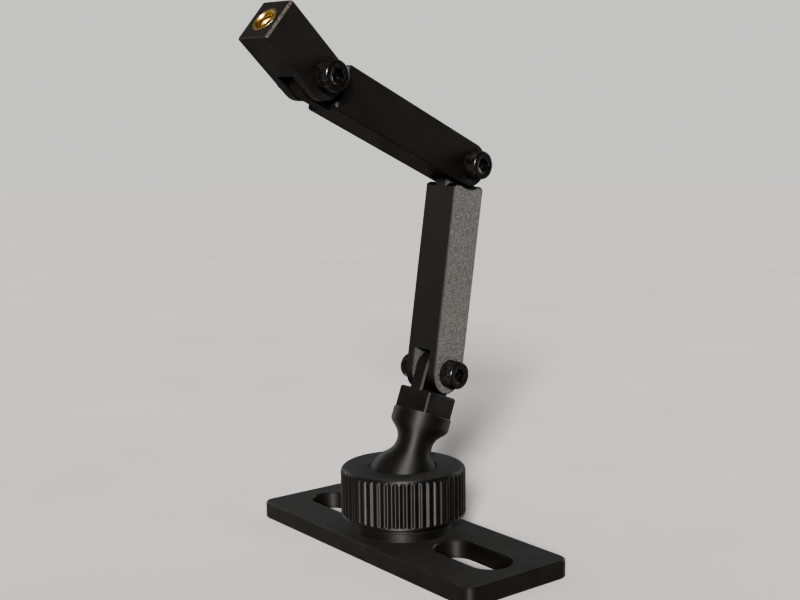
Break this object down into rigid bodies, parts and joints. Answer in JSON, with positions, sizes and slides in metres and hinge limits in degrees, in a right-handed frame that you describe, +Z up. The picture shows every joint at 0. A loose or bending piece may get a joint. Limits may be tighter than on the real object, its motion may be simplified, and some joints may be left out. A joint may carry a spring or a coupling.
{
  "type": "articulated mounting arm",
  "caption": "Small articulated mounting arm: slotted base plate, ball joint with knurled lock ring, hinged links on screw pivots, threaded head block.",
  "frame": {"origin": "centre of the base plate's underside, under the centre of the ball", "axes": "+Z up out of the plate, +X along the plate's long side through both slots; the arm leans towards +Y and folds back over -Y"},
  "size_m": [0.105, 0.0871, 0.1603],
  "materials": {
    "printed_black": "matt black printed plastic with a fine grain",
    "black_steel": "black oxide steel, satin",
    "nut_nylon": "dark nylon, satin",
    "washer_nylon": "dark nylon, satin",
    "grip_pad": "matt rubber",
    "brass": "machined brass"
  },
  "bodies": {
    "base": {"base_plate": "printed_black"},
    "seat": {"seat_pad": "grip_pad"},
    "stem": {"ball_stem": "printed_black", "lower_washer_left": "washer_nylon", "lower_washer_right": "washer_nylon"},
    "clamp": {"pressure_ring": "printed_black"},
    "ring": {"lock_ring": "printed_black"},
    "lower_link": {"lower_arm": "printed_black", "lower_screw": "black_steel", "lower_nut": "black_steel", "lower_nut_ring": "nut_nylon", "middle_washer_left": "washer_nylon", "middle_washer_right": "washer_nylon"},
    "upper_link": {"upper_arm": "printed_black", "middle_screw": "black_steel", "middle_nut": "black_steel", "middle_nut_ring": "nut_nylon", "head_washer_left": "washer_nylon", "head_washer_right": "washer_nylon"},
    "head": {"head_block": "printed_black", "head_screw": "black_steel", "head_nut": "black_steel", "head_nut_ring": "nut_nylon", "thread_insert": "brass"}
  },
  "joints": [
    {"name": "ball_swivel", "type": "hinge", "parent": "base", "child": "seat", "pos_m": [0, 0, 0.019], "axis": [0, 0, 1], "continuous": true},
    {"name": "ball_tilt", "type": "hinge", "parent": "seat", "child": "stem", "pos_m": [0, 0, 0.019], "axis": [0.9995, 0.0318, 0], "range_deg": [-3.5, 45.5]},
    {"name": "ring_rise", "type": "slide", "parent": "base", "child": "clamp", "axis": [0, 0, 1], "range_m": [0, 0.001]},
    {"name": "ring_turn", "type": "hinge", "parent": "clamp", "child": "ring", "pos_m": [0, 0, 0.019], "axis": [0, 0, 1], "range_deg": [0, 120]},
    {"name": "lower_pivot", "type": "hinge", "parent": "stem", "child": "lower_link", "pos_m": [-0.00042, 0.01312, 0.05306], "axis": [0.9908, 0.1303, -0.038], "range_deg": [-103, 76.5]},
    {"name": "middle_pivot", "type": "hinge", "parent": "lower_link", "child": "upper_link", "pos_m": [0.00087, 0.02201, 0.11693], "axis": [0.9908, 0.1303, -0.038], "range_deg": [-153, 2.5]},
    {"name": "head_pivot", "type": "hinge", "parent": "upper_link", "child": "head", "pos_m": [0.00957, -0.03707, 0.14133], "axis": [0.9908, 0.1303, -0.038], "range_deg": [-58.9, 96.5]}
  ],
  "couplings": [
    {"joint": "ring_turn", "follows": "ring_rise", "rad_per_m": 2094.4}
  ]
}
